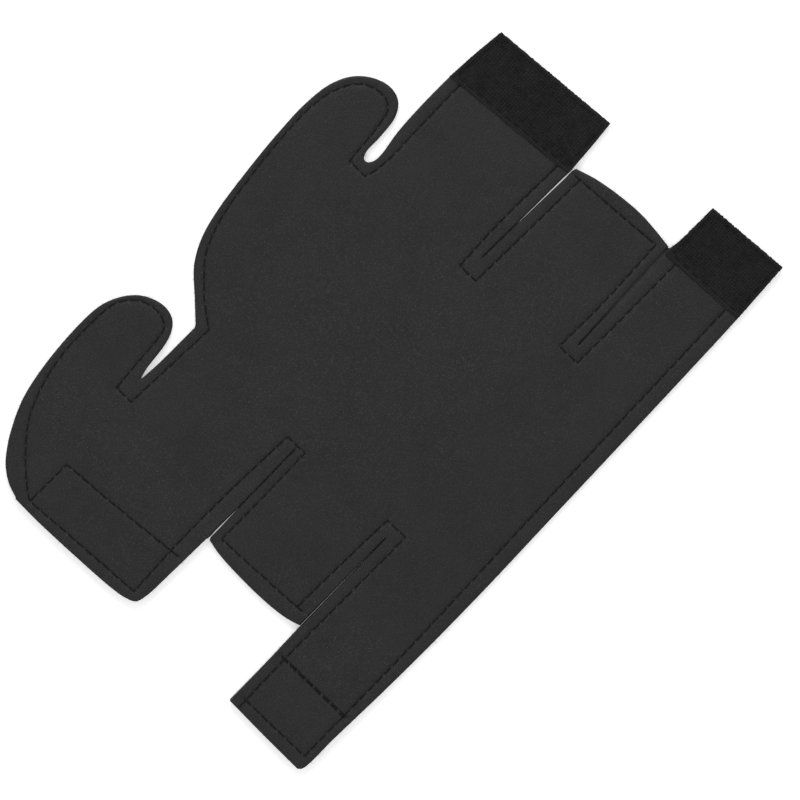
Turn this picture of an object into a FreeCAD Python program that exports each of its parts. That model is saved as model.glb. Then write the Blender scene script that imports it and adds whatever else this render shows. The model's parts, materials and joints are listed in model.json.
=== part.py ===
"""Wrap-around leather hand guard, lying open and flat with its grain side up.

A face leather and a lining are cut to one pattern and sewn together. Six straight bends, parallel to Y,
let the sheet curl into a closed sleeve, so each layer is divided at the bends and at the slits.
X runs along the guard, Z is up, and the origin is on the surface that the guard lies on.
"""
import FreeCAD, Part
import math
import os
from types import SimpleNamespace

from FreeCAD import Placement, Rotation, Vector

# Driving dimensions in millimetres. Places are measured from the middle of the pattern.
SIZES = {
    # layers, from the resting surface up
    "pad_thickness": 1.3,
    "lining_thickness": 0.8,
    "face_thickness": 1.2,
    "thread_width": 0.6,
    "thread_depth": 0.3,
    "seam_inset": 3.0,
    "pad_seam_inset": 1.4,
    # bends, and the room that they need
    "bend_clearance": 0.2,
    "closing_clearance": 0.4,
    "left_bend_first": 17.0,
    "left_bend_second": 45.0,
    "right_bend_first": 14.0,
    "right_bend_second": 46.6,
    "bend_to_tape": 1.7,
    # how far the ends reach: at the left past their last bend, elsewhere from the middle
    "left_end_length": 31.8,
    "upper_right_reach": 100.2,
    "lower_right_end_length": 29.0,
    "left_tongue_reach": 75.0,
    "right_tongue_reach": 87.0,
    # slits between the flaps
    "slit_width": 0.4,
    "left_slit_end": 36.3,
    "right_slit_end": 45.3,
    "left_tongue_rounding": 1.6,
    "right_tongue_rounding": 3.4,
    "left_upper_slit": 0.9,
    "left_lower_slit": 39.2,
    "right_upper_slit": 2.2,
    "right_lower_slit": 41.1,
    # long edges
    "bottom_reach": 71.6,
    "bottom_corner": 69.0,
    "strap_top": 42.2,
    "strap_top_end": 40.2,
    "flap_bottom": 0.9,
    "flap_corner_radius": 4.5,
    # lobes
    "left_lobe_shoulder": 49.5,
    "left_lobe_top": 71.6,
    "left_lobe_tip": 31.8,
    "left_notch_end": 52.5,
    "left_notch_top": 48.2,
    "left_notch_bottom": 46.0,
    "valley": 29.4,
    "right_lobe_top": 68.1,
    "right_lobe_tip": 62.7,
    "right_notch_end": 41.4,
    "right_notch_top": 45.0,
    # tape pads
    "tape_width": 20.0,
    "upper_right_pad_slant": 2.7,
    "lower_right_pad_slant": 1.5,
    "upper_left_pad_margin": 1.6,
    "upper_left_pad_top": 46.8,
    "lower_left_pad_margin": 1.6,
    "lower_left_pad_length": 26.5,
}
CLOSING_TURN = math.radians(60)  # each bend's turn when the sleeve is closed

doc = FreeCAD.newDocument("hand_guard")
sheet = doc.addObject("Spreadsheet::Sheet", "sizes")
for row, (alias, value) in enumerate(SIZES.items(), 1):
    sheet.set(f"A{row}", alias)
    sheet.set(f"B{row}", str(value))
    sheet.setAlias(f"B{row}", alias)
doc.recompute()
v = SimpleNamespace(**{alias: float(sheet.get(alias)) for alias in SIZES})

# Layer heights and bend places that follow from the driving dimensions
LINING_BOTTOM = "sizes.pad_thickness"
FACE_BOTTOM = "sizes.pad_thickness + sizes.lining_thickness"
FACE_TOP = FACE_BOTTOM + " + sizes.face_thickness"
SHEET_THICKNESS = "sizes.lining_thickness + sizes.face_thickness"
sheet_thickness = v.lining_thickness + v.face_thickness
bend_height = v.pad_thickness + sheet_thickness / 2
bend_start = sheet_thickness / 2 + v.bend_clearance
# The closed sleeve's right ends lie outside its left ends, with both pads between them.
closing_room = sheet_thickness + 2 * v.pad_thickness + v.closing_clearance
right_bend_third = v.upper_right_reach - v.upper_right_pad_slant - v.tape_width - v.bend_to_tape
right_side = right_bend_third - v.right_bend_first
left_bend_third = v.left_bend_first + right_side - closing_room / math.sin(CLOSING_TURN)
left_reach = round(left_bend_third + v.left_end_length, 1)
lower_right_reach = round(right_bend_third + v.lower_right_end_length, 1)
left_slit_mouth = v.left_tongue_reach - v.left_tongue_rounding
right_slit_mouth = v.right_tongue_reach - v.right_tongue_rounding
BEYOND = 2 * max(left_reach, lower_right_reach)  # past every edge of the pattern


class Pen:
    """Collects the edges of an outline that is drawn point by point."""

    def __init__(self, x, y):
        self.start = self.here = Vector(x, y, 0)
        self.curves = []

    def line(self, x, y):
        there = Vector(x, y, 0)
        self.curves.append(Part.LineSegment(self.here, there))
        self.here = there

    def arc(self, middle, end):
        there = Vector(*end, 0)
        self.curves.append(Part.Arc(self.here, Vector(*middle, 0), there))
        self.here = there

    def arcs(self, *places):
        """A round stretch as arcs, each given by a place on it and its end."""
        for middle, end in zip(places[::2], places[1::2]):
            self.arc(middle, end)

    def close(self):
        self.line(self.start.x, self.start.y)
        return self.curves


# Each slit's middle line, as its blind end and its mouth
SLITS = {
    "left_upper": ((-v.left_slit_end, -v.left_upper_slit - 0.3), (-left_slit_mouth, -v.left_upper_slit + 0.2)),
    "left_lower": ((-v.left_slit_end, -v.left_lower_slit - 0.2), (-left_slit_mouth, -v.left_lower_slit + 0.5)),
    "right_upper": ((v.right_slit_end, -v.right_upper_slit), (right_slit_mouth, -v.right_upper_slit - 1.5)),
    "right_lower": ((v.right_slit_end, -v.right_lower_slit), (right_slit_mouth, -v.right_lower_slit + 0.2)),
}


def slit_y(name, x):
    """The height of a slit's middle line, or of its straight extension, at x."""
    (end_x, end_y), (mouth_x, mouth_y) = SLITS[name]
    return end_y + (mouth_y - end_y) * (x - end_x) / (mouth_x - end_x)


def cut_slit(pen, name, from_below):
    """Goes into a slit along one side and out along the other."""
    (end_x, end_y), (mouth_x, mouth_y) = SLITS[name]
    near = -v.slit_width / 2 if from_below else v.slit_width / 2
    pen.line(mouth_x, mouth_y + near)
    pen.line(end_x, end_y + near)
    pen.line(end_x, end_y - near)
    pen.line(mouth_x, mouth_y - near)


def pattern():
    """The cutting pattern's edges, clockwise from the lower left strap's bottom corner."""
    pen = Pen(-left_reach, -v.bottom_corner + 0.5)
    pen.line(-left_reach, slit_y("left_lower", -left_reach) - 0.5)
    cut_slit(pen, "left_lower", True)
    # left tongue, a little rounded
    tongue_mouth = slit_y("left_upper", -left_slit_mouth) - v.slit_width / 2
    pen.arc((-v.left_tongue_reach, (pen.here.y + tongue_mouth) / 2), (-left_slit_mouth, tongue_mouth))
    pen.line(-v.left_slit_end, slit_y("left_upper", -v.left_slit_end) - v.slit_width / 2)
    pen.line(-v.left_slit_end, pen.here.y + v.slit_width)
    pen.line(-left_slit_mouth, tongue_mouth + v.slit_width)
    # upper left flap's free end
    radius = v.flap_corner_radius
    pen.line(-left_reach + radius, v.flap_bottom)
    pen.arc((-left_reach + 0.3 * radius, v.flap_bottom + 0.3 * radius), (-left_reach, v.flap_bottom + radius))
    pen.line(-left_reach, v.left_lobe_shoulder)
    # left lobe: its long back, its round tip and the notch under it
    rise = v.left_lobe_top - v.left_lobe_shoulder
    reach = left_reach - v.left_lobe_tip
    pen.arcs(
        (-left_reach + 0.07 * reach, v.left_lobe_shoulder + 0.41 * rise),
        (-left_reach + 0.20 * reach, v.left_lobe_shoulder + 0.68 * rise),
        (-left_reach + 0.46 * reach, v.left_lobe_top - 0.05 * rise),
        (-left_reach + 0.74 * reach, v.left_lobe_top - 0.005 * rise),
        (-v.left_lobe_tip - 0.10 * reach, v.left_lobe_top - 0.135 * rise),
        (-v.left_lobe_tip - 0.025 * reach, v.left_lobe_top - 0.32 * rise),
        (-v.left_lobe_tip, v.left_lobe_top - 0.58 * rise),
        (-v.left_lobe_tip - 0.017 * reach, v.left_notch_top + 0.235 * rise),
        (-v.left_lobe_tip - 0.055 * reach, v.left_notch_top + 0.09 * rise),
        (-v.left_lobe_tip - 0.12 * reach, v.left_notch_top),
    )
    pen.line(-v.left_notch_end + 1.0, v.left_notch_bottom + 1.5)
    pen.arc((-v.left_notch_end, v.left_notch_bottom + 1.0), (-v.left_notch_end + 0.7, v.left_notch_bottom + 0.5))
    pen.line(-v.valley, v.left_notch_bottom)
    # right lobe: it rises from the valley, runs level and hooks back over the notch
    rise = v.right_lobe_top - v.left_notch_bottom
    reach = v.valley + v.right_lobe_tip
    pen.arcs(
        (-v.valley + 0.070 * reach, v.left_notch_bottom + 0.31 * rise),
        (-v.valley + 0.140 * reach, v.left_notch_bottom + 0.59 * rise),
        (-v.valley + 0.222 * reach, v.left_notch_bottom + 0.77 * rise),
        (-v.valley + 0.320 * reach, v.left_notch_bottom + 0.865 * rise),
        (-v.valley + 0.535 * reach, v.right_lobe_top - 0.03 * rise),
        (-v.valley + 0.750 * reach, v.right_lobe_top),
        (v.right_lobe_tip - 0.127 * reach, v.right_lobe_top - 0.06 * rise),
        (v.right_lobe_tip - 0.058 * reach, v.right_lobe_top - 0.21 * rise),
        (v.right_lobe_tip - 0.012 * reach, v.right_lobe_top - 0.43 * rise),
        (v.right_lobe_tip, v.right_lobe_top - 0.70 * rise),
        (v.right_lobe_tip - 0.017 * reach, v.right_notch_top + 0.15 * rise),
        (v.right_lobe_tip - 0.062 * reach, v.right_notch_top + 0.03 * rise),
    )
    pen.line(v.right_notch_end + 1.5, v.right_notch_top)
    pen.arc((v.right_notch_end, (v.right_notch_top + v.strap_top) / 2 - 0.2), (v.right_notch_end + 1.9, v.strap_top - 1.0))
    pen.line(v.right_notch_end + 9, v.strap_top)
    pen.line(upper_right_pad[0].x, v.strap_top)
    # upper right flap's end, under its pad
    for corner in upper_right_pad[1:3]:
        pen.line(corner.x, corner.y)
    # right tongue, a little rounded, between its two slits
    cut_slit(pen, "right_upper", False)
    tongue_mouth = slit_y("right_lower", right_slit_mouth) + v.slit_width / 2
    pen.arc((v.right_tongue_reach, (pen.here.y + tongue_mouth) / 2 - 2), (right_slit_mouth, tongue_mouth))
    pen.line(v.right_slit_end, slit_y("right_lower", v.right_slit_end) + v.slit_width / 2)
    pen.line(v.right_slit_end, pen.here.y - v.slit_width)
    pen.line(right_slit_mouth, tongue_mouth - v.slit_width)
    # lower right flap's end, under its pad, and the bowed long edge
    for corner in lower_right_pad[:3]:
        pen.line(corner.x, corner.y)
    pen.arc((-0.2 * left_reach, -v.bottom_reach), (-left_reach + 0.7, -v.bottom_corner))
    return pen.close()


def four_corners(outer_top, outer_bottom, width, margin=0.0):
    """A tape pad's corners, clockwise from its inner top corner, from its outer edge and its width."""
    (top_x, top_y), (bottom_x, bottom_y) = outer_top, outer_bottom
    inward = -math.copysign(width, top_x)
    corners = [(top_x + inward, top_y), (top_x, top_y), (bottom_x, bottom_y), (bottom_x + inward, bottom_y)]
    return [Vector(x - math.copysign(margin, x), y, 0) for x, y in corners]


pad_edge = slit_y("right_upper", right_slit_mouth) + v.slit_width / 2
upper_right_pad = four_corners(
    (v.upper_right_reach - v.upper_right_pad_slant, v.strap_top_end),
    (v.upper_right_reach, pad_edge + 0.6),
    v.tape_width,
)
lower_right_pad = four_corners(
    (lower_right_reach - v.lower_right_pad_slant, -v.right_lower_slit - 0.9),
    (lower_right_reach, -v.bottom_corner - 0.6),
    v.tape_width,
)
# The inner edges meet the flaps' own edges, which aren't square to the tape.
upper_right_pad[0].y = v.strap_top
upper_right_pad[3].y = pad_edge
upper_left_pad = four_corners(
    (-left_reach, v.upper_left_pad_top),
    (-left_reach + 2.7, v.flap_bottom + v.upper_left_pad_margin),
    v.tape_width - 1.0,
    v.upper_left_pad_margin - 0.6,
)
lower_left_pad = four_corners(
    (-left_reach, slit_y("left_lower", -left_reach) - 2.2),
    (-left_reach, slit_y("left_lower", -left_reach) - 2.2 - v.lower_left_pad_length),
    v.tape_width,
    v.lower_left_pad_margin,
)


def sketch(name, curves, height):
    """A flat sketch of the given curves; height is an expression of the sheet's cells."""
    drawn = doc.addObject("Sketcher::SketchObject", name)
    drawn.addGeometry(curves, False)
    drawn.setExpression("Placement.Base.z", height)
    return drawn


def extrusion(name, base, length):
    solid = doc.addObject("Part::Extrusion", name)
    solid.Base = base
    solid.DirMode = "Custom"
    solid.Dir = Vector(0, 0, 1)
    solid.Solid = True
    solid.setExpression("LengthFwd", length)
    return solid


def slab(name, curves, height, length):
    return extrusion(name, sketch(name + "_outline", curves, height), length)


def polygon(*points):
    """Straight edges round the given corners."""
    corners = [Vector(*point) if isinstance(point, Vector) else Vector(*point, 0) for point in points]
    return [Part.LineSegment(a, b) for a, b in zip(corners, corners[1:] + corners[:1])]


def offset_slab(name, base, inset, length):
    """The base outline moved inwards by an expression, as a solid."""
    moved = doc.addObject("Part::Offset2D", name + "_offset")
    moved.Source = base
    moved.Mode = "Pipe"
    moved.Join = "Arc"
    moved.setExpression("Value", "-(" + inset + ")")
    return extrusion(name, moved, length)


def cut(name, base, tool):
    result = doc.addObject("Part::Cut", name)
    result.Base = base
    result.Tool = tool
    return result


def common(name, base, tool):
    result = doc.addObject("Part::Common", name)
    result.Base = base
    result.Tool = tool
    return result


def fuse(name, *shapes):
    result = doc.addObject("Part::MultiFuse", name)
    result.Shapes = list(shapes)
    return result


def thread_ring(name, curves, inset, height):
    """A line of thread that runs round an outline at an inset, as deep and wide as the thread."""
    base = sketch(name + "_outline", curves, height)
    outer = offset_slab(name + "_outer", base, inset + " - sizes.thread_width / 2", "sizes.thread_depth")
    inner = offset_slab(name + "_inner", base, inset + " + sizes.thread_width / 2", "sizes.thread_depth")
    return cut(name, outer, inner)


def knuckle(name, bend, low, high):
    """The round end of a segment at one bend: a cylinder on the bend's axis between two places along Y."""
    rod = doc.addObject("Part::Cylinder", name)
    rod.setExpression("Radius", "(" + SHEET_THICKNESS + ") / 2")
    rod.Height = high - low
    rod.Placement = Placement(Vector(bend, low, bend_height), Rotation(Vector(1, 0, 0), -90))
    return rod


# Bend places along X, and the gaps between lobe and sheet that divide the segments along Y
LEFT_FIRST, LEFT_SECOND, LEFT_THIRD = -v.left_bend_first, -v.left_bend_second, -left_bend_third
RIGHT_FIRST, RIGHT_SECOND, RIGHT_THIRD = v.right_bend_first, v.right_bend_second, right_bend_third
lobe_gap_x = -(v.left_lobe_tip + v.valley) / 2
left_lobe_gap = (v.left_notch_top + v.left_notch_bottom) / 2
right_lobe_gap = (v.right_notch_top + v.strap_top) / 2


def strip(inner, outer, bottom, top):
    """A region between two places along X; bottom and top are a slit's name, a number or None for no limit."""

    def at(limit, x, none):
        if limit is None:
            return none
        return slit_y(limit, x) if isinstance(limit, str) else limit

    return [
        (inner, at(bottom, inner, -BEYOND)),
        (outer, at(bottom, outer, -BEYOND)),
        (outer, at(top, outer, BEYOND)),
        (inner, at(top, inner, BEYOND)),
    ]


# Each segment of the sheet: its region in plan and the bends at which it ends in a round knuckle,
# each with the stretch along Y that belongs to it. A segment starts clear of the knuckle it turns on.
SEGMENTS = {
    "palm_centre": (
        strip(LEFT_FIRST, RIGHT_FIRST, None, None),
        [(LEFT_FIRST, -BEYOND, BEYOND), (RIGHT_FIRST, -BEYOND, BEYOND)],
    ),
    "palm_left": (
        [
            (LEFT_SECOND, -BEYOND),
            (LEFT_FIRST - bend_start, -BEYOND),
            (LEFT_FIRST - bend_start, BEYOND),
            (lobe_gap_x, BEYOND),
            (lobe_gap_x, left_lobe_gap),
            (LEFT_SECOND, left_lobe_gap),
        ],
        [(LEFT_SECOND, -BEYOND, left_lobe_gap)],
    ),
    "upper_left_flap": (
        [
            (LEFT_THIRD, slit_y("left_upper", LEFT_THIRD)),
            (LEFT_SECOND - bend_start, slit_y("left_upper", LEFT_SECOND)),
            (LEFT_SECOND - bend_start, left_lobe_gap),
            (LEFT_SECOND, left_lobe_gap),
            (LEFT_SECOND, BEYOND),
            (LEFT_THIRD, BEYOND),
        ],
        [(LEFT_THIRD, slit_y("left_upper", LEFT_THIRD), BEYOND), (LEFT_SECOND, left_lobe_gap, BEYOND)],
    ),
    "upper_left_end": (strip(-BEYOND, LEFT_THIRD - bend_start, "left_upper", None), []),
    "left_lobe_tip": (strip(LEFT_SECOND + bend_start, lobe_gap_x, left_lobe_gap, None), []),
    "left_tongue": (strip(-left_reach, LEFT_SECOND - bend_start, "left_lower", "left_upper"), []),
    "lower_left_strap": (
        strip(LEFT_THIRD, LEFT_SECOND - bend_start, None, "left_lower"),
        [(LEFT_THIRD, -BEYOND, slit_y("left_lower", LEFT_THIRD))],
    ),
    "lower_left_end": (strip(-BEYOND, LEFT_THIRD - bend_start, None, "left_lower"), []),
    "palm_right": (strip(RIGHT_FIRST + bend_start, RIGHT_SECOND, None, None), [(RIGHT_SECOND, -BEYOND, BEYOND)]),
    "right_lobe_tip": (strip(RIGHT_SECOND + bend_start, BEYOND, right_lobe_gap, None), []),
    "upper_right_flap": (
        strip(RIGHT_SECOND + bend_start, RIGHT_THIRD, "right_upper", right_lobe_gap),
        [(RIGHT_THIRD, slit_y("right_upper", RIGHT_THIRD), right_lobe_gap)],
    ),
    "upper_right_end": (strip(RIGHT_THIRD + bend_start, BEYOND, "right_upper", right_lobe_gap), []),
    "right_tongue": (strip(RIGHT_SECOND + bend_start, lower_right_reach, "right_lower", "right_upper"), []),
    "lower_right_strap": (
        strip(RIGHT_SECOND + bend_start, RIGHT_THIRD, None, "right_lower"),
        [(RIGHT_THIRD, -BEYOND, slit_y("right_lower", RIGHT_THIRD))],
    ),
    "lower_right_end": (strip(RIGHT_THIRD + bend_start, BEYOND, None, "right_lower"), []),
}


def needle_and_bobbin_rings():
    """The perimeter seam: one thread sunk in the face, one in the lining, both stopping at the tape on the right."""
    needle = thread_ring("needle_ring", pattern(), "sizes.seam_inset", FACE_TOP + " - sizes.thread_depth")
    bobbin = thread_ring("bobbin_ring", pattern(), "sizes.seam_inset", LINING_BOTTOM)
    taped = [
        slab(name, polygon(*corners), LINING_BOTTOM, SHEET_THICKNESS)
        for name, corners in (("upper_taped_area", upper_right_pad), ("lower_taped_area", lower_right_pad))
    ]
    return cut("perimeter_seam", fuse("both_rings", needle, bobbin), fuse("taped_areas", *taped))


def make_segment(name, region, knuckles, face_blank, lining_blank, seam):
    """One rigid segment of the sheet as its leather, its lining and its share of the perimeter seam."""
    prism = slab(name + "_region", polygon(*region), LINING_BOTTOM, SHEET_THICKNESS)
    thread = common(name + "_seam", seam, prism)
    tool = prism
    if knuckles:
        rods = [knuckle(f"{name}_knuckle_{i}", *place) for i, place in enumerate(knuckles)]
        tool = fuse(name + "_tool", prism, *rods)
    face = cut(name + "_leather", common(name + "_face_area", face_blank, tool), thread)
    lining = cut(name + "_lining", common(name + "_lining_area", lining_blank, tool), thread)
    return [face, lining, thread]


def make_pads():
    """Four tape pads: loop on the face at the right, hook on the lining at the left, each with its own seam."""
    made = []
    for name, corners in (("upper_right_loop_pad", upper_right_pad), ("lower_right_loop_pad", lower_right_pad)):
        tape = slab(name + "_tape", polygon(*corners), FACE_TOP, "sizes.pad_thickness")
        top = FACE_TOP + " + sizes.pad_thickness - sizes.thread_depth"
        thread = thread_ring(name + "_seam", polygon(*corners), "sizes.pad_seam_inset", top)
        made += [cut(name, tape, thread), thread]
    for name, corners in (("upper_left_hook_pad", upper_left_pad), ("lower_left_hook_pad", lower_left_pad)):
        tape = slab(name + "_tape", polygon(*corners), "0", "sizes.pad_thickness")
        thread = thread_ring(name + "_seam", polygon(*corners), "sizes.pad_seam_inset", "0")
        made += [cut(name, tape, thread), thread]
    return made


def main():
    face_blank = slab("face_blank", pattern(), FACE_BOTTOM, "sizes.face_thickness")
    lining_blank = slab("lining_blank", pattern(), LINING_BOTTOM, "sizes.lining_thickness")
    seam = needle_and_bobbin_rings()
    pieces = []
    for name, (region, knuckles) in SEGMENTS.items():
        pieces += make_segment(name, region, knuckles, face_blank, lining_blank, seam)
    pieces += make_pads()
    doc.recompute()
    for item in doc.Objects:
        if {"Invalid", "Error"} & set(item.State):
            raise RuntimeError(f"{item.Name} failed: {item.State}")
    os.makedirs("parts", exist_ok=True)
    for piece in pieces:
        shape = piece.Shape
        if shape.isNull() or not shape.isValid() or not shape.Solids:
            raise RuntimeError(f"{piece.Name} has no valid solid")
        shape.exportStep(f"parts/{piece.Label}.step")
        print(f"{piece.Label}: {len(shape.Solids)} solids, {shape.Volume:.1f} cubic mm")


main()
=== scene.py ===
import json
import math

import bpy
import numpy as np
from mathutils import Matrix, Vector
from mathutils.geometry import delaunay_2d_cdt
from mathutils.kdtree import KDTree


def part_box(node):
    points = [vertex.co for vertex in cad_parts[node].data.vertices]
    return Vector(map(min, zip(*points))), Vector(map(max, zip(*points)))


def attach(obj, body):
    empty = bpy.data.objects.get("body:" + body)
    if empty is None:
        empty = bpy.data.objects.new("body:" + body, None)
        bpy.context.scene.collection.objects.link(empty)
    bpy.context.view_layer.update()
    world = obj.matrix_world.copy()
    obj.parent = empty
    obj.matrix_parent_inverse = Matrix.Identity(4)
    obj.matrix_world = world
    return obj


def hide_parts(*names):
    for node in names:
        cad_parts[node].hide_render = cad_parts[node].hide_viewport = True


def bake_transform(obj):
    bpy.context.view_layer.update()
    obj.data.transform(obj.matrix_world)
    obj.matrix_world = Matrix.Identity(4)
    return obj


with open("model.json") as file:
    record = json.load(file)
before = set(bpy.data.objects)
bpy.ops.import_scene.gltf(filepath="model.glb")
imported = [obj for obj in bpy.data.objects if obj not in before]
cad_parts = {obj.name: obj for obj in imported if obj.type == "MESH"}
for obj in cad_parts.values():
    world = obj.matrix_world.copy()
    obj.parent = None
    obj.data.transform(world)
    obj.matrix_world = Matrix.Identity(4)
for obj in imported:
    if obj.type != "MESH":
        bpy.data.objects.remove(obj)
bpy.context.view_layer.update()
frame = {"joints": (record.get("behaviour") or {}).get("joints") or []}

MM = 0.001
rng = np.random.default_rng(7)

# ---------------------------------------------------------------- places, in millimetres, from the frame
BEND = {j["child"]: j["pos_m"][0] / MM for j in frame["joints"]}
FACE_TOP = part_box("palm_centre_leather")[1].z / MM
FACE_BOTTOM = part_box("palm_centre_leather")[0].z / MM
LINING_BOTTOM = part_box("palm_centre_lining")[0].z / MM
PAD_THICKNESS = (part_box("upper_right_loop_pad")[1].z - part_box("upper_right_loop_pad")[0].z) / MM
MID = (BEND["palm_left"] + BEND["palm_right"]) / 2
LEFT_MID = (BEND["palm_left"] + BEND["upper_left_flap"]) / 2
LEFT_OUTER = (BEND["upper_left_flap"] + BEND["upper_left_end"]) / 2
RIGHT_MID = (BEND["palm_right"] + BEND["upper_right_flap"]) / 2
RIGHT_OUTER = (BEND["upper_right_flap"] + BEND["upper_right_end"]) / 2

STITCH = 3.5            # stitch length
THREAD_RADIUS = 0.27

# The cut edge as smooth stretches that meet at corners, clockwise from the lower left strap
OUTLINE = [
    [(-104.7, -67.8), (-104.4, -53.0), (-103.9, -39.1)],
    [(-103.6, -38.8), (-90.0, -39.0), (-73.5, -38.9)],
    [(-73.5, -38.9), (-36.6, -39.358)],
    [(-36.6, -39.342), (-73.1, -38.8)],
    [(-73.1, -38.8), (-74.3, -34.5), (-75.0, -28.5), (-75.1, -18.0), (-74.4, -7.0), (-73.3, -1.5)],
    [(-73.3, -1.5), (-72.6, -1.12), (-70.0, -1.1), (-66.0, -1.08), (-62.0, -1.04), (-60.0, -1.028)],
    [(-60.0, -1.028), (-36.1, -1.258)],
    [(-36.1, -1.242), (-60.0, -1.012)],
    [(-60.0, -1.012), (-62.0, -0.98), (-66.0, -0.86), (-70.0, -0.76), (-72.6, -0.82), (-73.7, -0.5)],
    [(-73.7, -0.5), (-88.0, 0.1), (-98.8, 0.8), (-101.8, 1.9), (-103.2, 5.2), (-103.9, 10.0), (-104.5, 25.0),
     (-104.7, 40.0), (-104.4, 49.2)],
    [(-104.0, 49.6), (-102.3, 54.0), (-99.0, 58.5), (-94.5, 62.0), (-90.0, 64.6), (-81.0, 68.4), (-69.0, 70.7),
     (-54.0, 71.6), (-45.0, 70.9), (-39.0, 68.4), (-34.6, 64.6), (-32.2, 59.8), (-31.8, 55.8), (-33.0, 52.4),
     (-36.0, 50.0), (-40.5, 48.7), (-49.0, 47.8), (-52.0, 47.1)],
    [(-52.4, 46.8), (-45.0, 46.2), (-30.2, 45.8)],
    [(-29.3, 46.2), (-24.0, 51.6), (-16.5, 59.0), (-9.0, 62.9), (0.0, 65.1), (15.0, 66.9), (30.0, 68.0),
     (42.0, 68.1), (51.0, 66.7), (57.2, 63.5), (61.2, 58.5), (62.7, 52.9), (61.4, 48.6), (57.4, 45.9),
     (50.0, 45.0), (43.6, 44.9), (41.6, 43.9), (41.6, 42.5), (43.4, 41.3), (46.5, 41.1), (54.0, 42.1),
     (63.0, 42.5), (77.4, 42.3), (88.0, 41.5), (97.0, 40.4)],
    [(97.4, 40.0), (98.7, 20.0), (100.2, -2.0)],
    [(99.9, -2.4), (92.0, -3.0), (83.5, -3.45)],
    [(83.5, -3.45), (82.4, -3.6), (79.0, -3.38), (74.0, -3.2), (68.0, -3.05), (62.0, -2.86), (59.0, -2.762)],
    [(59.0, -2.762), (45.1, -2.192)],
    [(45.1, -2.208), (59.0, -2.778)],
    [(59.0, -2.778), (62.0, -2.96), (68.0, -3.26), (74.0, -3.56), (79.0, -3.82), (82.4, -3.88), (83.4, -4.3)],
    [(83.4, -4.3), (85.2, -10.5), (86.4, -18.0), (87.0, -27.0), (86.6, -33.0), (85.6, -40.5)],
    [(85.6, -40.5), (85.2, -40.712), (45.9, -41.192)],
    [(45.9, -41.208), (85.2, -40.728), (85.8, -41.1)],
    [(85.8, -41.1), (90.0, -41.8), (102.8, -42.1)],
    [(103.1, -42.4), (103.8, -55.0), (104.7, -69.2)],
    [(104.4, -69.6), (85.0, -70.4), (60.0, -70.8), (0.0, -71.3), (-30.0, -71.5), (-60.0, -71.0), (-90.0, -69.6),
     (-103.6, -68.9), (-104.7, -67.8)],
]

SLIT_LINES = {
    "left_upper": ((-36.1, -1.25), (-73.4, -0.9)),
    "left_lower": ((-36.6, -39.35), (-73.3, -38.85)),
    "right_upper": ((45.1, -2.2), (83.3, -3.75)),
    "right_lower": ((45.9, -41.2), (85.2, -40.72)),
}
LEFT_NOTCH = (-52.2, 46.9)
RIGHT_NOTCH = (41.6, 43.2)

# Seam lines as stretches that join at corners; each inner list is one run of the needle
SEAMS = [
    [[(-103.6, -42.5), (-83.7, -42.4), (-32.1, -43.5)], [(-32.1, -43.5), (-32.1, -36.0)],
     [(-32.1, -36.0), (-50.0, -35.1), (-69.6, -34.3)]],
    [[(-69.5, -36.6), (-69.9, -28.0), (-70.5, -3.9)], [(-70.5, -3.9), (-50.0, -4.2), (-34.6, -4.2)],
     [(-34.6, -4.2), (-34.6, 3.0)], [(-34.6, 3.0), (-60.0, 4.4), (-81.0, 4.8), (-100.0, 4.3)],
     [(-100.0, 4.3), (-101.1, 30.0), (-101.9, 45.6)],
     [(-101.9, 45.6), (-100.2, 48.2), (-97.0, 51.9), (-90.0, 58.6), (-84.0, 62.9), (-75.0, 66.6), (-66.0, 68.6),
      (-57.0, 69.3), (-42.0, 68.3), (-38.5, 66.3), (-35.4, 62.8), (-34.3, 58.8), (-34.8, 54.8), (-36.6, 52.4),
      (-39.6, 51.6), (-48.0, 51.1), (-59.4, 50.3)],
     [(-59.4, 50.3), (-59.4, 44.2)], [(-59.4, 44.2), (-45.0, 43.3), (-27.6, 42.2)],
     [(-27.6, 42.2), (-25.6, 45.0), (-21.7, 49.8), (-18.0, 53.5), (-13.3, 57.6), (-9.0, 60.0), (0.0, 62.8),
      (15.0, 65.0), (30.0, 66.2), (42.0, 66.2), (51.5, 64.1), (57.0, 60.4), (59.2, 56.0), (59.2, 51.7),
      (57.3, 48.9), (53.5, 47.9), (38.1, 46.6)],
     [(38.1, 46.6), (38.1, 40.0)], [(38.1, 40.0), (41.0, 39.2), (45.0, 38.5), (60.0, 38.4), (77.6, 38.4)]],
    [[(80.4, 0.4), (54.0, 1.3), (38.2, 0.9)], [(38.2, 0.9), (38.2, -5.7)], [(38.2, -5.7), (60.0, -6.6), (81.8, -7.4)]],
    [[(81.6, -4.8), (82.0, -12.0), (82.8, -28.0), (83.4, -37.3)], [(83.4, -37.3), (60.0, -37.9), (41.4, -37.4)],
     [(41.4, -37.4), (41.4, -44.7)], [(41.4, -44.7), (60.0, -45.2), (83.2, -45.7)]],
    [[(83.6, -65.9), (40.0, -66.2), (0.0, -66.6), (-60.0, -67.2), (-100.5, -66.7)], [(-100.5, -66.7), (-100.5, -41.4)]],
    [[(-83.7, -41.0), (-83.9, -67.9)]],
    [[(-83.3, -68.2), (-83.35, -40.6)]],
    [[(-101.6, 45.6), (-86.3, 45.2)], [(-86.3, 45.2), (-84.9, 22.0), (-83.2, 1.6)]],
]

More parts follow.
